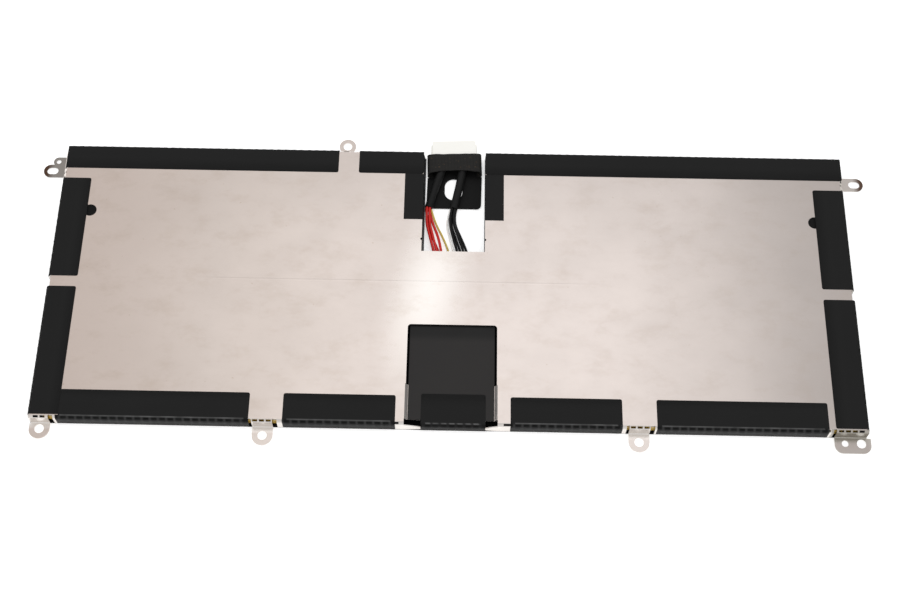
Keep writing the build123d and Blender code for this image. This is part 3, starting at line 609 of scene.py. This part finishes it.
@dataclass
class SlotRelief:
    """Geometry Nodes tree that lets a film sink a little into the slots along its fold."""

    name: str = "sunk_slots"
    inputs: dict[str, str] = field(default_factory=dict)
    flat_share: float = 0.6
    uneven_mm: float = 5.0
    uneven: Ramp = Ramp((0.3, 0.7), (0.35, 1.0))
    bridge_power: float = 3.0

    def tree(self) -> NodeTree:
        """Builds the tree, or gives the one built before.

        Returns:
            The tree, with the inputs Pitch, Slot, Depth, Rub, Crest, Bridge and Material.
        """
        if self.name in bpy.data.node_groups:
            return bpy.data.node_groups[self.name]
        tree = bpy.data.node_groups.new(self.name, "GeometryNodeTree")
        numbers = dict.fromkeys(("Pitch", "Slot", "Depth", "Rub", "Crest", "Bridge"), "Float")
        for name, kind in ({"Geometry": "Geometry"} | numbers | {"Material": "Material"}).items():
            socket = tree.interface.new_socket(name, in_out="INPUT", socket_type=f"NodeSocket{kind}")
            self.inputs[name] = socket.identifier
        tree.interface.new_socket("Geometry", in_out="OUTPUT", socket_type="NodeSocketGeometry")
        given = add_node(tree, "NodeGroupInput").outputs
        at = {name: given[name] for name in self.inputs}
        for name in ("along", "fold", "lip"):
            stored = add_node(tree, "GeometryNodeInputNamedAttribute", {"Name": name}, data_type="FLOAT")
            at[name] = stored.outputs[0]
        at["noise"] = add_node(tree, "ShaderNodeTexNoise", {"Scale": per_mm(self.uneven_mm)}).outputs[0]
        add_steps(tree, at, self.steps())
        normal = add_node(tree, "GeometryNodeInputNormal").outputs[0]
        shift = add_node(
            tree, "ShaderNodeVectorMath", {0: normal, "Scale": at["inward"]}, operation="SCALE"
        )
        film = add_node(
            tree, "GeometryNodeSetPosition", {"Geometry": at["Geometry"], "Offset": shift.outputs[0]}
        )
        # Stored for the film's finish: dent paints shade in the dents, and the other share paints highlights.
        for name, value in (("dent", at["varied"]), ("rub", at["rub"])):
            film = add_node(
                tree,
                "GeometryNodeStoreNamedAttribute",
                {"Geometry": film.outputs[0], "Name": name, "Value": value},
                data_type="FLOAT",
                domain="POINT",
            )
        whole = add_node(tree, "GeometryNodeRealizeInstances", {"Geometry": film.outputs[0]})
        dressed = add_node(
            tree, "GeometryNodeSetMaterial", {"Geometry": whole.outputs[0], "Material": at["Material"]}
        )
        add_node(tree, "NodeGroupOutput", {0: dressed.outputs[0]})
        return tree

    def steps(self) -> dict[str, StepRow]:
        """Gives the steps from the place along the fold to the dents, with their painted shade, and the
        painted highlights.

        Returns:
            The steps. The film moves by inward, and two shares are stored on it: varied, for painted shade in
            the dents, and the last step, for painted highlights.
        """
        return {
            "share": self.uneven.over("noise"),
            "turns": (Step.MATH, "DIVIDE", {0: "along", 1: "Pitch"}),
            "phase": (Step.MATH, "FRACT", {0: "turns"}),
            "centred": (Step.MATH, "SUBTRACT", {0: "phase", 1: 0.5}),
            "apart": (Step.MATH, "ABSOLUTE", {0: "centred"}),
            "away": (Step.MATH, "MULTIPLY", {0: "apart", 1: "Pitch"}),
            "half": (Step.MATH, "MULTIPLY", {0: "Slot", 1: 0.5}),
            "inner": (Step.MATH, "MULTIPLY", {0: "half", 1: self.flat_share}),
            "sunk": Ramp(("inner", "half"), (1.0, 0.0), "SMOOTHSTEP").over("away"),
            "deep": (Step.MATH, "MULTIPLY", {0: "sunk", 1: "fold"}),
            "varied": (Step.MATH, "MULTIPLY", {0: "deep", 1: "share"}),
            "dip": (Step.MATH, "MULTIPLY", {0: "varied", 1: "Depth"}),
            "inward": (Step.MATH, "MULTIPLY", {0: "dip", 1: -1.0}),
            "dash": (Step.MATH, "MULTIPLY", {0: "sunk", 1: "Rub"}),
            "crest": (Step.MATH, "ADD", {0: "dash", 1: "Crest"}),
            # Painted highlight on the lips, the crest of the fold and the bridges between slots.
            "pressed": (Step.MATH, "MULTIPLY", {0: "crest", 1: "lip"}),
            "uneven_glint": (Step.MATH, "MULTIPLY", {0: "pressed", 1: "share"}),
            "between": (Step.MATH, "SUBTRACT", {0: 1.0, 1: "sunk"}),
            "narrow": (Step.MATH, "POWER", {0: "between", 1: self.bridge_power}),
            "ridge": (Step.MATH, "MULTIPLY", {0: "narrow", 1: "fold"}),
            "rub": (Step.MATH, "MULTIPLY_ADD", {0: "ridge", 1: "Bridge", 2: "uneven_glint"}),
        }

    def press(self, piece: Object, finish: Finish, sizes: dict[str, float]) -> None:
        """Runs the tree on a piece and leaves it a plain mesh.

        Args:
            piece: Film with the point attributes along, fold and lip.
            finish: Its finish.
            sizes: Pitch and length of the slots, how far the film sinks into them, and how strong the painted
                highlights on their lips, the crest of the fold and the bridges between them are, by the
                tree's names.
        """
        modifier = piece.modifiers.new("slots", "NODES")
        modifier.node_group = self.tree()
        for name, value in (sizes | {"Material": finish.material()}).items():
            modifier[self.inputs[name]] = value
        graph = bpy.context.evaluated_depsgraph_get()
        pressed = bpy.data.meshes.new_from_object(piece.evaluated_get(graph))
        piece.modifiers.remove(modifier)
        piece.data = pressed


@dataclass(frozen=True)
class FoldMarks:
    """How the slots show through a film: its dents, and how strong the painted highlights on the lips, crest
    and bridges are.
    """

    depth: float = 0.22 * MM
    slot: float = 2.0 * MM
    pitch: float = 2.85 * MM
    rub: float = 0.0
    crest: float = 0.0
    bridge: float = 0.0


@dataclass
class FoldFilm:
    """A film stuck to the plate, wrapped over a fold and down the wall.

    The CAD node gives its place. reach is how far each run lies in from its wall's face, where the node's own
    box doesn't say it.
    """

    node: str
    sides: tuple[Side, ...]
    finish: Finish
    slots: SlotRelief
    marks: FoldMarks
    record_slot: str = "edge_film"
    reach: tuple[float, ...] = ()
    fold: float = 1.1 * MM
    fold_margin: float = 0.25 * MM
    fold_sink: float = 0.1
    # Share of the painted lip highlight on the first row of the arc.
    lip_fade: float = 0.4
    corner: float = 0.7 * MM
    corner_shares: tuple[float, ...] = (0.0, 0.08, 0.25, 0.5)
    thickness: float = 0.1 * MM
    # Painted highlights on the lips stop this far from the film's ends.
    rub_margin: float = 1.6 * MM
    step: float = 0.36 * MM
    slack: float = 0.01 * MM
    arc_steps: int = 6
    flat_rows: int = 3

    def build(self) -> Object:
        """Makes the film and puts it in the node's place.

        Returns:
            The film's object.
        """
        low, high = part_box(self.node)
        points = [v.co for v in bpy.data.objects[self.node].data.vertices]
        mesh = bpy.data.meshes.new(f"{self.node}_wrap")
        shape = bmesh.new()
        along = shape.verts.layers.float.new("along")
        fold = shape.verts.layers.float.new("fold")
        lip = shape.verts.layers.float.new("lip")
        taken = None
        for number, side in enumerate(self.sides):
            run_axis, out_axis, sign = side.value
            face = high[out_axis] if sign > 0 else low[out_axis]
            on_face = [p[run_axis] for p in points if abs(p[out_axis] - face) < 2 * self.slack]
            reach = self.reach[number] if self.reach else high[out_axis] - low[out_axis]
            first, last = min(on_face), max(on_face)
            grid = []
            for place in self.columns(first, last, taken):
                column = []
                from_start = self.corner if number + 1 < len(self.sides) else place - first
                rows = self.section(reach, from_start, last - place, high.z, low.z)
                for inward, height, weight, edge in rows:
                    spot = Vector((0.0, 0.0, height))
                    spot[run_axis] = place
                    spot[out_axis] = face - sign * inward
                    vert = shape.verts.new(spot)
                    vert[along] = place
                    vert[fold] = weight
                    vert[lip] = edge if side is Side.FRONT else 0.0
                    column.append(vert)
                grid.append((place, column))
            for (place, left), (_, right) in zip(grid, grid[1:]):
                for row in range(len(left) - 1):
                    # The run before this one already lies on the plate here.
                    if taken is not None and row < self.flat_rows and place < taken - self.slack:
                        continue
                    facet = shape.faces.new((left[row], right[row], right[row + 1], left[row + 1]))
                    facet.smooth = True
                    facet.normal_update()
                    if facet.normal.z + sign * facet.normal[out_axis] < 0:
                        facet.normal_flip()
            taken = face + reach if side is Side.LEFT else None
        loose = [v for v in shape.verts if not v.link_faces]
        bmesh.ops.delete(shape, geom=loose, context="VERTS")
        shape.to_mesh(mesh)
        shape.free()
        piece = new_piece(f"{self.node}_wrap", mesh)
        sizes = {name.capitalize(): value for name, value in asdict(self.marks).items()}
        self.slots.press(piece, self.finish, sizes)
        wall = piece.modifiers.new("thickness", "SOLIDIFY")
        wall.thickness = self.thickness
        wall.offset = -1.0
        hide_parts(self.node)
        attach(piece, "root")
        return piece

    def columns(self, first: float, last: float, stop: float | None) -> list[float]:
        """Places along the wall, closer together at the rounded corners.

        Args:
            first: Start of the film.
            last: End of the film.
            stop: A place that has to be among them, if any.

        Returns:
            The places in order.
        """
        ease = [self.corner * share for share in self.corner_shares]
        inner = first + self.corner, last - self.corner
        count = max(2, round((inner[1] - inner[0]) / self.step))
        middle = [inner[0] + (inner[1] - inner[0]) * i / count for i in range(count + 1)]
        extra = [stop] if stop is not None and first < stop < last else []
        return sorted([first + e for e in ease] + middle + [last - e for e in ease] + extra)

    def section(
        self, reach: float, from_start: float, to_end: float, top: float, foot: float
    ) -> list[tuple[float, float, float, float]]:
        """Section of the film at one place.

        Args:
            reach: How far it lies in from the wall's face.
            from_start: Distance to the film's start.
            to_end: Distance to its end.
            top: Height of its upper face.
            foot: Height of its lower edge.

        Returns:
            For each point, how far it is in from the face, its height, how much it sinks into a slot, and
            how much painted highlight it gets on the slot's lip.
        """
        near = min(from_start, to_end, self.corner)
        trim = self.corner - math.sqrt(max(0.0, self.corner**2 - (self.corner - near) ** 2))
        marked = 1.0 if min(from_start, to_end) > self.rub_margin else 0.0
        rows = [
            (reach - trim, top, 0.0, 0.0),
            (0.5 * reach, top, 0.0, 0.0),
            (self.fold + self.fold_margin, top, 0.0, 0.0),
            (self.fold, top, self.fold_sink, marked),
        ]
        for step in range(1, self.arc_steps):
            turn = 0.5 * math.pi * step / self.arc_steps
            inward = self.fold * (1 - math.sin(turn))
            drop = self.fold * (1 - math.cos(turn))
            edge = self.lip_fade * marked if step == 1 else 0.0
            rows.append((inward, top - drop, math.sin(2 * turn), edge))
        rows.append((0.0, top - self.fold, self.fold_sink, 0.0))
        rows.append((0.0, foot, 0.0, 0.0))
        return rows


@dataclass
class EdgeFilms:
    """The films round the edge of the cover and the patch in front of the window."""

    slots: SlotRelief = field(default_factory=SlotRelief)
    straight: dict[str, Side] = field(
        default_factory=lambda: {
            "film_back_left": Side.BACK,
            "film_back_mid": Side.BACK,
            "film_back_right": Side.BACK,
            "film_left_rear": Side.LEFT,
            "film_front_mid_left": Side.FRONT,
            "film_front_mid_right": Side.FRONT,
            "film_front_right": Side.FRONT,
            "film_right_rear": Side.RIGHT,
            "film_right_front": Side.RIGHT,
        }
    )
    # Per side: dent depth, and how strong the painted highlights on the crest and bridges are.
    marks: dict[Side, FoldMarks] = field(
        default_factory=lambda: {
            Side.BACK: FoldMarks(depth=0.1 * MM),
            Side.FRONT: FoldMarks(depth=0.26 * MM, slot=2.45 * MM, crest=0.5, bridge=0.1),
            Side.LEFT: FoldMarks(depth=0.2 * MM),
            Side.RIGHT: FoldMarks(depth=0.08 * MM),
        }
    )
    corner_reach: tuple[float, float] = (10.8 * MM, 10.7 * MM)
    # The patch's dents and its painted highlights on the lips and crest.
    patch_marks: FoldMarks = FoldMarks(slot=2.3 * MM, pitch=2.8 * MM, rub=0.55, crest=0.1)
    notch_films: tuple[str, ...] = ("film_notch_left", "film_notch_right")

    def build(self) -> list[Object]:
        """Makes every film.

        Returns:
            Their objects.
        """
        films = [
            FoldFilm(node, (side,), FILM, self.slots, self.marks[side])
            for node, side in self.straight.items()
        ]
        corner, marks = (Side.LEFT, Side.FRONT), self.marks[Side.FRONT]
        front = (Side.FRONT,)
        films += [
            FoldFilm("film_left_front", corner, FILM, self.slots, marks, reach=self.corner_reach),
            FoldFilm("window_patch", front, FILM, self.slots, self.patch_marks, record_slot="patch"),
        ]
        return [film.build() for film in films]

    def dress(self, nodes: dict[str, Object]) -> None:
        """Finishes the two films that keep their CAD shape in the notch."""
        for name in self.notch_films:
            dress_node(nodes[name], FILM)


def dress_node(node: Object, finish: Finish) -> None:
    """Gives a CAD node its finish in place of its materials."""
    node.data.materials.clear()
    node.data.materials.append(finish.material())
    LOG.info("%s: %s", node.name, finish.name)


Route = tuple[tuple[float, float, float], ...]
STRAND_ROUNDING = 5
STRAND_STEPS = 12
STRAND_ORDER = 3


@dataclass
class Wire:
    """One wire of the lead, from its pad to the mouth of its sleeve, on a route in millimetres."""

    node: str
    finish: Finish
    record_slot: str
    length: float
    route: Route
    diameter: float

    def build(self) -> Object:
        """Makes the wire along its smooth route.

        Returns:
            The wire's curve object.
        """
        piece = strand(f"{self.node}_jacket", self.route, self.diameter, self.finish)
        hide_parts(self.node)
        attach(piece, "root")
        return piece


def strand(name: str, route: Route, diameter: float, finish: Finish) -> Object:
    """Makes a round strand on a smooth line.

    Args:
        name: Name of the piece.
        route: Control points in millimetres.
        diameter: Its thickness.
        finish: Its finish.

    Returns:
        The curve object.
    """
    curve = bpy.data.curves.new(name, "CURVE")
    curve.dimensions = "3D"
    curve.bevel_depth = diameter / 2
    curve.bevel_resolution = STRAND_ROUNDING
    curve.resolution_u = STRAND_STEPS
    curve.use_fill_caps = True
    spline = curve.splines.new("NURBS")
    spline.points.add(len(route) - 1)
    for point, (x, y, z) in zip(spline.points, route):
        point.co = (x * MM, y * MM, z * MM, 1.0)
    spline.order_u = STRAND_ORDER
    spline.use_endpoint_u = True
    curve.materials.append(finish.material())
    return new_piece(name, curve)


@dataclass
class ClothTie:
    """The cloth tape wound round the rear of the plug, the sleeves and the tab."""

    node: str = "plug_tape"
    centre: tuple[float, float] = (0.55 * MM, 51.2 * MM)
    turn: float = math.radians(2.2)
    near: float = -4.6 * MM
    far: float = 3.7 * MM
    width: float = 20.4 * MM
    low: float = 0.05 * MM
    high: float = 3.95 * MM
    upper: float = 2.0 * MM
    corner: float = 1.3 * MM
    thickness: float = 0.25 * MM
    ripple: float = 0.16 * MM
    ripple_size: float = 2.6 * MM
    ripple_rows: tuple[float, float] = (7.7, 3.1)
    swell: float = 0.05 * MM
    swell_size: tuple[float, float, float] = (4.0 * MM, 3.0 * MM, 1.0 * MM)
    arch: float = 1.2 * MM
    rows: int = 16
    corner_steps: int = 5
    edge_steps: int = 26

    def ring(self) -> list[tuple[float, float]]:
        """Section of the tape, across and up.

        Returns:
            Points round its rounded oblong outline, in order.
        """
        half_wide = self.width / 2 - self.corner
        half_high = (self.high - self.low) / 2 - self.corner
        middle = (self.high + self.low) / 2
        points = []
        for quarter, (side, level) in enumerate(((1, 1), (-1, 1), (-1, -1), (1, -1))):
            for step in range(self.corner_steps + 1):
                turn = 0.5 * math.pi * (quarter + step / self.corner_steps)
                across = side * half_wide + self.corner * math.cos(turn)
                points.append((across, middle + level * half_high + self.corner * math.sin(turn)))
            if quarter in (0, 2):
                start, span = points[-1], -2 * side * half_wide
                for step in range(1, self.edge_steps):
                    points.append((start[0] + span * step / self.edge_steps, start[1]))
        return points

    def build(self) -> Object:
        """Makes the wound tape with uneven ends and slight ripples.

        Returns:
            The tape's object.
        """
        shape = bmesh.new()
        turned = Matrix.Translation((*self.centre, 0.0)) @ Matrix.Rotation(self.turn, 4, "Z")
        ring = self.ring()
        grid = []
        for row in range(self.rows + 1):
            share = row / self.rows
            line = []
            for across, height in ring:
                on_top = height > self.upper
                wander = noise.noise(Vector((across / self.ripple_size, self.ripple_rows[share > 0.5], 0.0)))
                slide = wander * self.ripple * abs(2 * share - 1) ** 2
                bow = max(0.0, 1.0 - (2 * across / self.width) ** 2) if on_top else 0.0
                drawn = self.arch * bow * (1.0 - share) ** 2
                along = self.near + (self.far - self.near) * share - slide + drawn
                spot = [c / size for c, size in zip((across, along, height), self.swell_size)]
                drop = abs(noise.noise(Vector(spot)) * self.swell) if on_top else 0.0
                line.append(shape.verts.new(turned @ Vector((across, along, height - drop))))
            grid.append(line)
        for lower, upper in zip(grid, grid[1:]):
            for i in range(len(ring)):
                j = (i + 1) % len(ring)
                facet = shape.faces.new((lower[j], lower[i], upper[i], upper[j]))
                facet.smooth = True
        bmesh.ops.recalc_face_normals(shape, faces=shape.faces)
        mesh = bpy.data.meshes.new(f"{self.node}_wrap")
        shape.to_mesh(mesh)
        shape.free()
        mesh.materials.append(CLOTH.material())
        piece = new_piece(f"{self.node}_wrap", mesh)
        wall = piece.modifiers.new("thickness", "SOLIDIFY")
        wall.thickness = self.thickness
        wall.offset = -1.0
        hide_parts(self.node)
        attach(piece, "root")
        return piece


@dataclass
class Lead:
    """The flying lead: ten wires, two sleeves, the tape, the plug and its pull tab.

    routes gives each wire's length in metres and its route in millimetres.
    """

    thick: float = 1.0 * MM
    thin: float = 0.8 * MM
    thin_colours: tuple[str, ...] = ("yellow", "white")
    sleeve_diameter: float = 3.0 * MM
    sleeves: dict[str, Route] = field(
        default_factory=lambda: {
            "sleeve_left": ((-8.74, 32.5, 2.1), (-6.35, 41.8, 2.14), (-3.55, 50.35, 2.15)),
            "sleeve_right": ((0.5, 32.0, 2.1), (2.65, 41.6, 2.14), (3.9, 50.8, 2.15)),
        }
    )
    routes: dict[str, tuple[float, Route]] = field(
        default_factory=lambda: {
            "wire_red_1": (0.0313, (
                (-5.95, 1.6, 1.55), (-5.7, 7.0, 1.65), (-6.05, 12.7, 2.05),
                (-7.9, 19.9, 2.1), (-9.75, 27.3, 2.25), (-9.28, 32.47, 2.58),
            )),
            "wire_red_2": (0.0311, (
                (-4.75, 1.6, 1.55), (-4.5, 6.9, 1.7), (-4.95, 12.6, 2.25),
                (-6.75, 19.7, 2.2), (-8.6, 27.1, 2.3), (-8.27, 32.23, 2.58),
            )),
            "wire_red_3": (0.032, (
                (-3.5, 1.6, 1.55), (-3.35, 6.4, 1.6), (-3.7, 11.9, 1.6),
                (-6.85, 19.9, 0.9), (-9.3, 27.3, 1.05), (-9.65, 32.56, 1.62),
            )),
            "wire_red_4": (0.0315, (
                (-2.25, 1.6, 1.55), (-2.45, 7.0, 2.3), (-3.5, 12.6, 2.75),
                (-4.75, 19.9, 2.0), (-7.55, 27.3, 1.3), (-8.69, 32.14, 1.62),
            )),
            "wire_yellow": (0.0317, (
                (-1.0, 1.6, 1.45), (-0.85, 7.0, 1.55), (-0.5, 12.9, 1.5),
                (-2.85, 19.9, 0.95), (-6.5, 27.3, 0.85), (-7.77, 31.93, 1.62),
            )),
            "wire_white": (0.0311, (
                (0.55, 1.6, 1.45), (0.95, 7.0, 1.55), (1.4, 12.7, 1.5),
                (-0.6, 19.9, 0.95), (-2.25, 27.0, 1.1), (-0.59, 32.07, 1.62),
            )),
            "wire_black_1": (0.0309, (
                (1.95, 1.6, 1.55), (2.25, 7.0, 1.65), (2.65, 12.7, 1.85),
                (0.55, 19.9, 1.8), (-1.1, 27.0, 2.25), (-0.04, 31.96, 2.58),
            )),
            "wire_black_2": (0.031, (
                (3.15, 1.6, 1.55), (3.45, 7.0, 1.65), (3.85, 12.7, 1.85),
                (1.6, 19.9, 1.2), (-0.8, 27.1, 1.1), (0.33, 31.88, 1.62),
            )),
            "wire_black_3": (0.0309, (
                (4.35, 1.6, 1.55), (4.65, 7.0, 1.65), (5.05, 12.7, 1.85),
                (2.6, 19.8, 2.1), (0.15, 27.0, 2.5), (0.98, 31.75, 2.58),
            )),
            "wire_black_4": (0.0311, (
                (5.55, 1.6, 1.55), (5.85, 7.0, 1.65), (6.25, 12.7, 1.85),
                (3.65, 19.8, 1.4), (0.45, 27.2, 1.3), (1.35, 31.67, 1.62),
            )),
        }
    )

    def wires(self) -> list[Wire]:
        """Gives the ten wires with their routes.

        Returns:
            Four red, one yellow, one white and four black wires.
        """
        wires = []
        for node, (length, route) in self.routes.items():
            colour = node.split("_")[1]
            diameter = self.thin if colour in self.thin_colours else self.thick
            wires.append(Wire(node, JACKETS[colour], f"wire_{colour}", length, route, diameter))
        return wires

    def build(self, nodes: dict[str, Object]) -> list[Object]:
        """Makes the lead.

        Args:
            nodes: The CAD nodes by name.

        Returns:
            The new pieces.
        """
        tubes = {}
        for node, route in self.sleeves.items():
            tube = strand(f"{node}_tube", route, self.sleeve_diameter, SLEEVE)
            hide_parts(node)
            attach(tube, "root")
            tubes[node] = tube
        tape = ClothTie().build()
        for name, finish in (("plug_housing", NYLON), ("plug_contacts", BRONZE), ("pull_tab", TAB_FILM)):
            dress_node(nodes[name], finish)
        pieces = []
        for wire in self.wires():
            piece = wire.build()
            pieces.append(piece)
        return [*pieces, *tubes.values(), tape]


@dataclass
class Cover:
    """The steel cover, the films that lie flat on it and the base film."""

    finishes: dict[str, Finish] = field(
        default_factory=lambda: {
            "steel_cover": STEEL,
            "base_film": BASE_FILM,
            "window_film": WINDOW_FILM,
            "edge_tape_front_left": POLYIMIDE,
            "edge_tape_front_right": POLYIMIDE,
        }
    )

    def dress(self, nodes: dict[str, Object]) -> None:
        """Finishes the nodes that keep their CAD shape."""
        for name, finish in self.finishes.items():
            dress_node(nodes[name], finish)


@dataclass
class Core:
    """The cells under the cover and the circuit board between them."""

    corners: tuple[str, ...] = ("rear_left", "rear_right", "front_left", "front_right")
    board: dict[str, Finish] = field(
        default_factory=lambda: {
            "circuit_board": BOARD,
            "gauge_chip": EPOXY,
            "power_switches": EPOXY,
            "fuse": EPOXY,
            "sense_resistor": EPOXY,
            "capacitors": CERAMIC,
            "solder_pads": TIN,
        }
    )

    def dress(self, nodes: dict[str, Object]) -> None:
        """Finishes the cells and the board."""
        for corner in self.corners:
            dress_node(nodes[f"cell_{corner}"], POUCH)
            dress_node(nodes[f"cell_tabs_{corner}"], NICKEL)
            dress_node(nodes[f"cell_glue_{corner}"], FOAM)
        for name, finish in self.board.items():
            dress_node(nodes[name], finish)


@dataclass
class Studio:
    """Camera, floor and light."""

    picture: float = 900.0
    focal: float = 1493.1
    sensor_mm: float = 36.0
    clip_start: float = 0.01
    elevation: float = math.radians(64.0)
    azimuth: float = math.radians(0.626)
    roll: float = math.radians(0.484)
    distance: float = 540.0 * MM
    target: tuple[float, float, float] = (-0.12 * MM, -4.47 * MM, 0.0)
    floor_size: float = 6.0
    floor_gap: float = 0.03 * MM
    paper: str = "#f4f4f4"
    sky: float = 1.1
    floor_glow: float = 0.5
    lamp_power: float = 0.94
    lamp_size: tuple[float, float] = (0.6, 0.5)
    lamp_place: tuple[float, float, float] = (0.0, 0.37, 0.98)

    def place_camera(self) -> None:
        """Sets the camera where the photograph was taken from."""
        back = Vector(
            (
                math.sin(self.azimuth) * math.cos(self.elevation),
                -math.cos(self.azimuth) * math.cos(self.elevation),
                math.sin(self.elevation),
            )
        )
        flat_right = Vector((0, 0, 1)).cross(back).normalized()
        flat_up = back.cross(flat_right)
        right = math.cos(self.roll) * flat_right + math.sin(self.roll) * flat_up
        up = math.cos(self.roll) * flat_up - math.sin(self.roll) * flat_right
        place = Vector(self.target) + back * self.distance
        lens = bpy.data.cameras.new("camera")
        lens.sensor_width = self.sensor_mm
        lens.lens = self.sensor_mm * self.focal / self.picture
        lens.clip_start = self.clip_start
        camera = bpy.data.objects.new("camera", lens)
        camera.matrix_world = Matrix.Translation(place) @ Matrix((right, up, back)).transposed().to_4x4()
        bpy.context.scene.collection.objects.link(camera)
        bpy.context.scene.camera = camera

    def seen(self, tree: NodeTree) -> NodeSocket:
        """Adds a mask of the rays that the camera sees, straight, mirrored or through something clear.

        Args:
            tree: Tree of the floor or the sky.

        Returns:
            The mask.
        """
        path = add_node(tree, "ShaderNodeLightPath").outputs
        mask = path["Is Camera Ray"]
        for ray in ("Is Glossy Ray", "Is Transmission Ray"):
            mask = add_node(tree, "ShaderNodeMath", {0: mask, 1: path[ray]}, operation="MAXIMUM").outputs[0]
        return mask

    def lay_floor(self) -> None:
        """Lays a white floor that shows white to the camera and in reflections, and keeps the shadow."""
        material = bpy.data.materials.new("white_paper_sweep")
        material.use_nodes = True
        tree = material.node_tree
        tree.nodes.clear()
        glow = add_node(
            tree, "ShaderNodeMath", {0: self.seen(tree), 1: self.floor_glow}, operation="MULTIPLY"
        )
        paper = add_node(tree, "ShaderNodeBsdfDiffuse", {"Color": linear(self.paper)})
        lift = add_node(tree, "ShaderNodeEmission", {"Strength": glow.outputs[0]})
        both = add_node(tree, "ShaderNodeAddShader", {0: paper.outputs[0], 1: lift.outputs[0]})
        add_node(tree, "ShaderNodeOutputMaterial", {"Surface": both.outputs[0]})
        half = self.floor_size / 2
        turns = ((-half, -half), (half, -half), (half, half), (-half, half))
        corners = [(x, y, -self.floor_gap) for x, y in turns]
        mesh = bpy.data.meshes.new("floor")
        mesh.from_pydata(corners, [], [(0, 1, 2, 3)])
        mesh.materials.append(material)
        new_piece("floor", mesh)

    def light(self) -> None:
        """Lights the scene with an even pale sky and one soft lamp above the back edge."""
        world = bpy.data.worlds.new("pale_sky")
        world.use_nodes = True
        tree = world.node_tree
        tree.nodes.clear()
        level = add_node(
            tree, "ShaderNodeMapRange", {"Value": self.seen(tree), "To Min": self.sky, "To Max": 1.0}
        )
        sky = add_node(tree, "ShaderNodeBackground", {"Strength": level.outputs[0]})
        add_node(tree, "ShaderNodeOutputWorld", {"Surface": sky.outputs[0]})
        bpy.context.scene.world = world
        lamp = bpy.data.lights.new("softbox", "AREA")
        lamp.shape = "RECTANGLE"
        lamp.size, lamp.size_y = self.lamp_size
        lamp.energy = self.lamp_power
        softbox = bpy.data.objects.new("softbox", lamp)
        place = Vector(self.lamp_place)
        softbox.matrix_world = Matrix.Translation(place) @ place.to_track_quat("Z", "Y").to_matrix().to_4x4()
        bpy.context.scene.collection.objects.link(softbox)
        bpy.context.scene.view_settings.view_transform = "Standard"


def main() -> None:
    """Builds the looks of the pack round its frame."""
    logging.basicConfig(level=logging.INFO, format="%(name)s: %(message)s")
    for old in list(bpy.data.objects):
        bpy.data.objects.remove(old)
    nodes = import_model()["nodes"]
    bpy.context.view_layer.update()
    studio = Studio()
    studio.place_camera()
    for piece in Lead().build(nodes):
        LOG.info("%s built", piece.name)
    films = EdgeFilms()
    for piece in films.build():
        LOG.info("%s built", piece.name)
    films.dress(nodes)
    Cover().dress(nodes)
    Core().dress(nodes)
    studio.lay_floor()
    studio.light()


if __name__ == "__main__":
    main()
